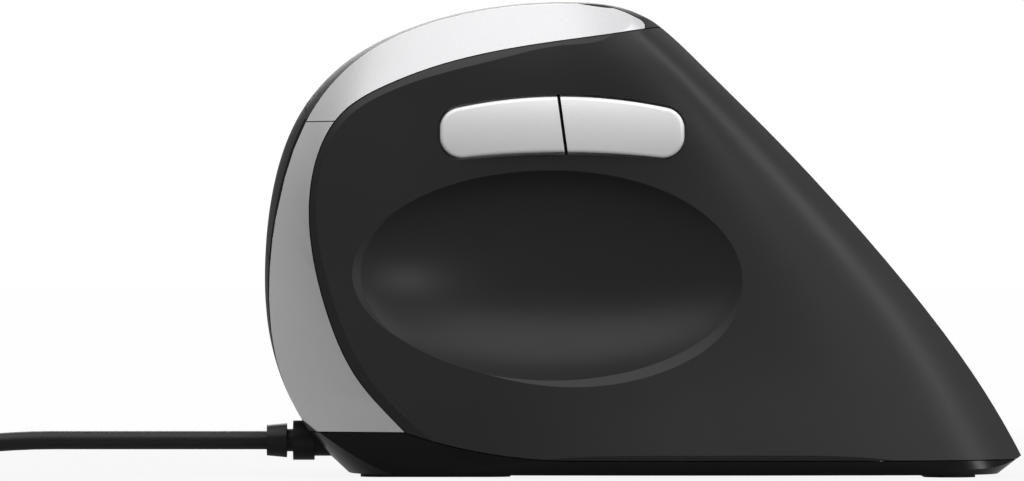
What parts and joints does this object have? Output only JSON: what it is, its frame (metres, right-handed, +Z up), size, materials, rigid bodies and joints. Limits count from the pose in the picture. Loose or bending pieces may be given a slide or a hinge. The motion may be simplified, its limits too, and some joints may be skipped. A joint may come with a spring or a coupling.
{
  "type": "vertical mouse",
  "caption": "Corded right-hand vertical mouse with a hollowed thumb side, thumb buttons in an arched slot, silver trim, finger buttons, a clicking scroll wheel and a coiled lead with a plug.",
  "frame": {"origin": "on the desk, under the middle of the housing's box, without the free cord", "axes": "+X from the cord's end to the rear of the palm rest, +Y from the thumb's side to the fingers' side, +Z up"},
  "size_m": [0.2209, 0.0976, 0.0753],
  "materials": {
    "shell_grey": "fine satin grain",
    "foot_black": "gloss",
    "silver_trim": "satin silver paint",
    "thumb_silver": "satin silver paint",
    "wheel_rubber": "matte",
    "wheel_plastic": "satin silver paint",
    "inner_plastic": "moulded",
    "switch_body": "moulded",
    "switch_plunger": "moulded",
    "board_green": "solder mask",
    "steel": "zinc plated",
    "lens_clear": "clear",
    "glide_slip": "smooth low-friction sheet",
    "cord_jacket": "soft satin jacket",
    "connector_white": "moulded"
  },
  "bodies": {
    "housing": {"back_switch": "switch_body", "base_plate": "foot_black", "board_screws": "steel", "button_hinge_pin": "steel", "case_screws": "steel", "connector_leads": "cord_jacket", "cord_coil": "cord_jacket", "cord_connector": "connector_white", "cord_lead": "cord_jacket", "cord_tail": "cord_jacket", "cord_tie": "cord_jacket", "finger_board": "board_green", "finger_jumper": "connector_white", "finger_side_shell": "shell_grey", "forward_switch": "switch_body", "front_glide_foot": "glide_slip", "front_trim_band": "silver_trim", "index_switch": "switch_body", "inner_chassis": "inner_plastic", "main_board": "board_green", "middle_switch": "switch_body", "optical_sensor": "switch_body", "rear_glide_foot": "glide_slip", "resolution_switch": "switch_body", "sensor_lens": "lens_clear", "strain_relief": "cord_jacket", "thumb_board": "board_green", "thumb_jumper": "connector_white", "thumb_side_shell": "shell_grey", "upper_trim_band": "silver_trim", "usb_plug_grip": "cord_jacket", "usb_plug_shell": "steel", "usb_plug_tongue": "connector_white", "wheel_click_switch": "switch_body"},
    "index_button": {"index_button": "shell_grey"},
    "middle_button": {"middle_button": "shell_grey"},
    "cradle": {"wheel_cradle": "inner_plastic", "rotary_encoder": "inner_plastic"},
    "wheel": {"wheel_core": "wheel_plastic", "wheel_tyre": "wheel_rubber", "wheel_axle": "steel"},
    "resolution_button": {"resolution_button": "thumb_silver"},
    "forward_button": {"forward_button": "thumb_silver"},
    "back_button": {"back_button": "thumb_silver"},
    "index_plunger": {"index_plunger": "switch_plunger"},
    "middle_plunger": {"middle_plunger": "switch_plunger"},
    "wheel_click_plunger": {"wheel_click_plunger": "switch_plunger"},
    "resolution_plunger": {"resolution_plunger": "switch_plunger"},
    "forward_plunger": {"forward_plunger": "switch_plunger"},
    "back_plunger": {"back_plunger": "switch_plunger"}
  },
  "joints": [
    {"name": "index_button_press", "type": "hinge", "parent": "housing", "child": "index_button", "pos_m": [-0.0075, 0.0029, 0.04705], "axis": [0, -0.5, 0.866], "range_deg": [0, 0.8], "stiffness_Nm_per_rad": 1.4},
    {"name": "middle_button_press", "type": "hinge", "parent": "housing", "child": "middle_button", "pos_m": [-0.0075, 0.0029, 0.04705], "axis": [0, -0.5, 0.866], "range_deg": [0, 0.8], "stiffness_Nm_per_rad": 1.4},
    {"name": "wheel_click", "type": "slide", "parent": "housing", "child": "cradle", "axis": [0, -0.866, -0.5], "range_m": [0, 0.0005], "stiffness_N_per_m": 1200},
    {"name": "wheel_spin", "type": "hinge", "parent": "cradle", "child": "wheel", "pos_m": [-0.036, 0.0016, 0.0463], "axis": [0, 0.5, -0.866], "continuous": true},
    {"name": "resolution_button_press", "type": "slide", "parent": "housing", "child": "resolution_button", "axis": [0, -0.866, -0.5], "range_m": [0, 0.0004], "stiffness_N_per_m": 1500},
    {"name": "forward_button_press", "type": "slide", "parent": "housing", "child": "forward_button", "axis": [0, 1, 0], "range_m": [0, 0.0005], "stiffness_N_per_m": 1500},
    {"name": "back_button_press", "type": "slide", "parent": "housing", "child": "back_button", "axis": [0, 1, 0], "range_m": [0, 0.0005], "stiffness_N_per_m": 1500},
    {"name": "index_plunger_travel", "type": "slide", "parent": "housing", "child": "index_plunger", "axis": [0, -0.866, -0.5], "range_m": [0, 0.0005]},
    {"name": "middle_plunger_travel", "type": "slide", "parent": "housing", "child": "middle_plunger", "axis": [0, -0.866, -0.5], "range_m": [0, 0.0005]},
    {"name": "wheel_click_plunger_travel", "type": "slide", "parent": "housing", "child": "wheel_click_plunger", "axis": [0, -0.866, -0.5], "range_m": [0, 0.0005]},
    {"name": "resolution_plunger_travel", "type": "slide", "parent": "housing", "child": "resolution_plunger", "axis": [0, -0.866, -0.5], "range_m": [0, 0.0005]},
    {"name": "forward_plunger_travel", "type": "slide", "parent": "housing", "child": "forward_plunger", "axis": [0, 1, 0], "range_m": [0, 0.0005]},
    {"name": "back_plunger_travel", "type": "slide", "parent": "housing", "child": "back_plunger", "axis": [0, 1, 0], "range_m": [0, 0.0005]}
  ],
  "couplings": [
    {"joint": "index_plunger_travel", "follows": "index_button_press", "m_per_rad": 0.0326},
    {"joint": "middle_plunger_travel", "follows": "middle_button_press", "m_per_rad": 0.0326},
    {"joint": "wheel_click_plunger_travel", "follows": "wheel_click", "ratio": 1},
    {"joint": "resolution_plunger_travel", "follows": "resolution_button_press", "ratio": 1},
    {"joint": "forward_plunger_travel", "follows": "forward_button_press", "ratio": 1},
    {"joint": "back_plunger_travel", "follows": "back_button_press", "ratio": 1}
  ]
}
